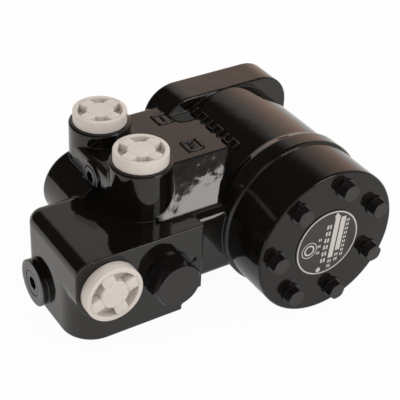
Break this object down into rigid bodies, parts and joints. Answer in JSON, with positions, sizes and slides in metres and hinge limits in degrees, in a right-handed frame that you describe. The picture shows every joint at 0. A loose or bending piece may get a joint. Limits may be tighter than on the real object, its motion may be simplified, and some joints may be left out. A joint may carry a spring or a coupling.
{
  "type": "orbital steering unit",
  "caption": "Hydraulic orbital steering unit: gerotor pump and rotary valve in a black cast housing with a priority valve section and plugged ports.",
  "frame": {"origin": "centre of the column mounting face, on the rotor axis", "axes": "+Y along the rotor axis towards the steering column, +Z towards the steering-port side, +X to the right seen from the end cap"},
  "size_m": [0.2635, 0.1846, 0.1365],
  "materials": {
    "black_paint": "glossy black enamel over cast iron and steel",
    "name_plate": "satin black aluminium plate with a bare ring",
    "rivet": "bare drive rivets",
    "white_plastic": "moulded white polyethylene",
    "seal_rubber": "nitrile rubber",
    "ground_steel": "hardened and ground steel",
    "spring_steel": "blued spring steel"
  },
  "bodies": {
    "housing_body": {"housing": "black_paint", "distributor_plate": "black_paint", "gear_ring": "black_paint", "end_cap": "black_paint", "stack_seals": "seal_rubber", "bearing_outer_race": "ground_steel", "shaft_seal": "seal_rubber", "dust_seal": "seal_rubber", "cap_bolts": "black_paint", "check_bolt": "black_paint", "bolt_washers": "black_paint", "check_bush": "ground_steel", "nameplate": "name_plate", "nameplate_rivets": "rivet", "port_plug_1": "white_plastic", "port_plug_2": "white_plastic", "inlet_plug": "white_plastic", "return_plug": "white_plastic", "priority_plug": "black_paint", "priority_plug_seal": "black_paint", "priority_spring": "spring_steel", "gallery_plug": "black_paint", "pilot_plug": "black_paint", "relief_plug": "black_paint", "relief_seat": "ground_steel", "relief_spring": "spring_steel"},
    "valve_sleeve": {"sleeve": "ground_steel", "cross_pin": "ground_steel", "centering_springs": "spring_steel", "spring_ring": "spring_steel", "bearing_inner_race": "ground_steel", "needle_cage": "ground_steel", "needle_rollers": "ground_steel"},
    "valve_spool": {"spool": "ground_steel"},
    "orbit": {"cardan_spacer": "ground_steel"},
    "star": {"gear_star": "ground_steel"},
    "cardan": {"cardan_shaft": "ground_steel"},
    "priority": {"priority_spool": "ground_steel"},
    "relief": {"relief_poppet": "ground_steel"},
    "check": {"check_ball": "ground_steel"}
  },
  "joints": [
    {"name": "sleeve_turn", "type": "hinge", "parent": "housing_body", "child": "valve_sleeve", "pos_m": [0, -0.06, 0], "axis": [0, 1, 0], "continuous": true},
    {"name": "spool_deflection", "type": "hinge", "parent": "valve_sleeve", "child": "valve_spool", "pos_m": [0, -0.06, 0], "axis": [0, 1, 0], "range_deg": [-10, 10], "stiffness_Nm_per_rad": 8, "deforming": ["centering_springs"]},
    {"name": "star_orbit", "type": "hinge", "parent": "housing_body", "child": "orbit", "pos_m": [0, -0.14975, 0], "axis": [0, 1, 0], "continuous": true},
    {"name": "star_spin", "type": "hinge", "parent": "orbit", "child": "star", "pos_m": [-0.00069, -0.14975, 0.00313], "axis": [0, 1, 0], "continuous": true},
    {"name": "cardan_spin", "type": "hinge", "parent": "orbit", "child": "cardan", "pos_m": [0, -0.044, 0], "axis": [0.0065, 0.9995, -0.0295], "continuous": true},
    {"name": "priority_slide", "type": "slide", "parent": "housing_body", "child": "priority", "axis": [0, 1, 0], "range_m": [0, 0.006], "stiffness_N_per_m": 4000, "springref_m": -0.004, "deforming": ["priority_spring"]},
    {"name": "relief_lift", "type": "slide", "parent": "housing_body", "child": "relief", "axis": [-1, 0, 0], "range_m": [0, 0.002], "stiffness_N_per_m": 9000, "springref_m": -0.004, "deforming": ["relief_spring"]},
    {"name": "check_lift", "type": "slide", "parent": "housing_body", "child": "check", "axis": [0, -1, 0], "range_m": [0, 0.0015]}
  ],
  "couplings": [
    {"joint": "star_orbit", "follows": "sleeve_turn", "ratio": -6},
    {"joint": "star_spin", "follows": "sleeve_turn", "ratio": 7},
    {"joint": "cardan_spin", "follows": "sleeve_turn", "ratio": 7}
  ]
}
